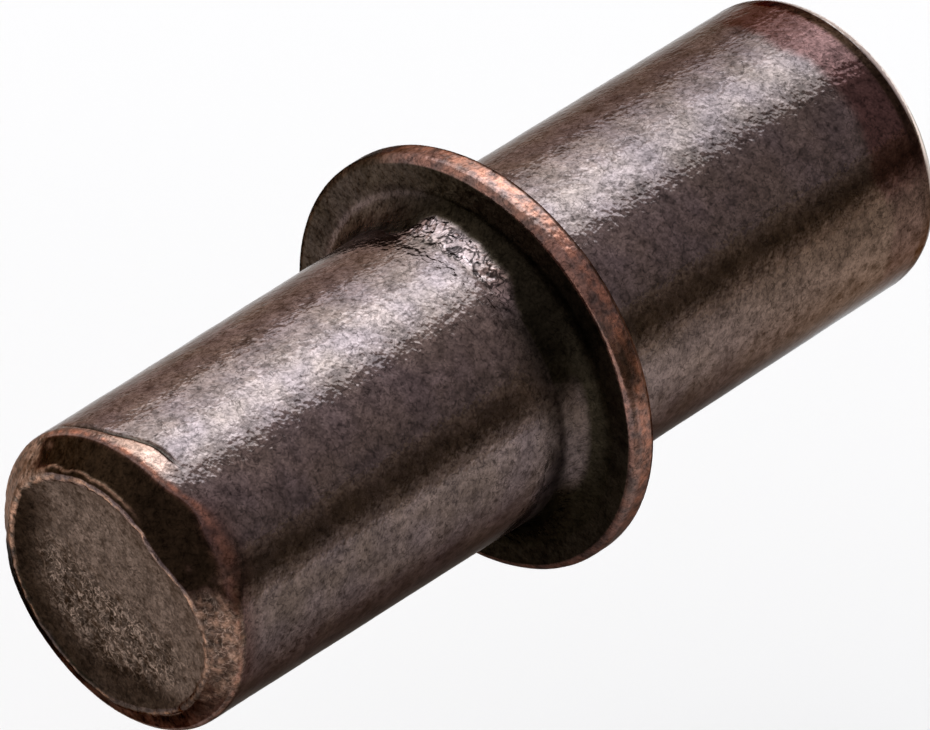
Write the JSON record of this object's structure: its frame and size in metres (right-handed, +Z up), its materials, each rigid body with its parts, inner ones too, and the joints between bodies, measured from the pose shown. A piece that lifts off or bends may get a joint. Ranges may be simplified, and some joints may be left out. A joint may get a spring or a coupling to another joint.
{
  "type": "shelf support pin",
  "caption": "Round metal shelf pin with a thin collar: the plain end pushes into a drilled cabinet side up to the collar, and the slightly drafted end carries the shelf.",
  "frame": {"origin": "on the pin's axis, in the plane of the collar's seat on the panel", "axes": "+X along the pin's axis into the panel, the support pin reaches out along -X, +Z up"},
  "size_m": [0.0159, 0.0068, 0.0068],
  "materials": {
    "bronzed_steel": "dark antique bronze patina on steel, satin, worn to copper on the edges"
  },
  "bodies": {
    "root": {"support_pin": "bronzed_steel"}
  },
  "joints": []
}
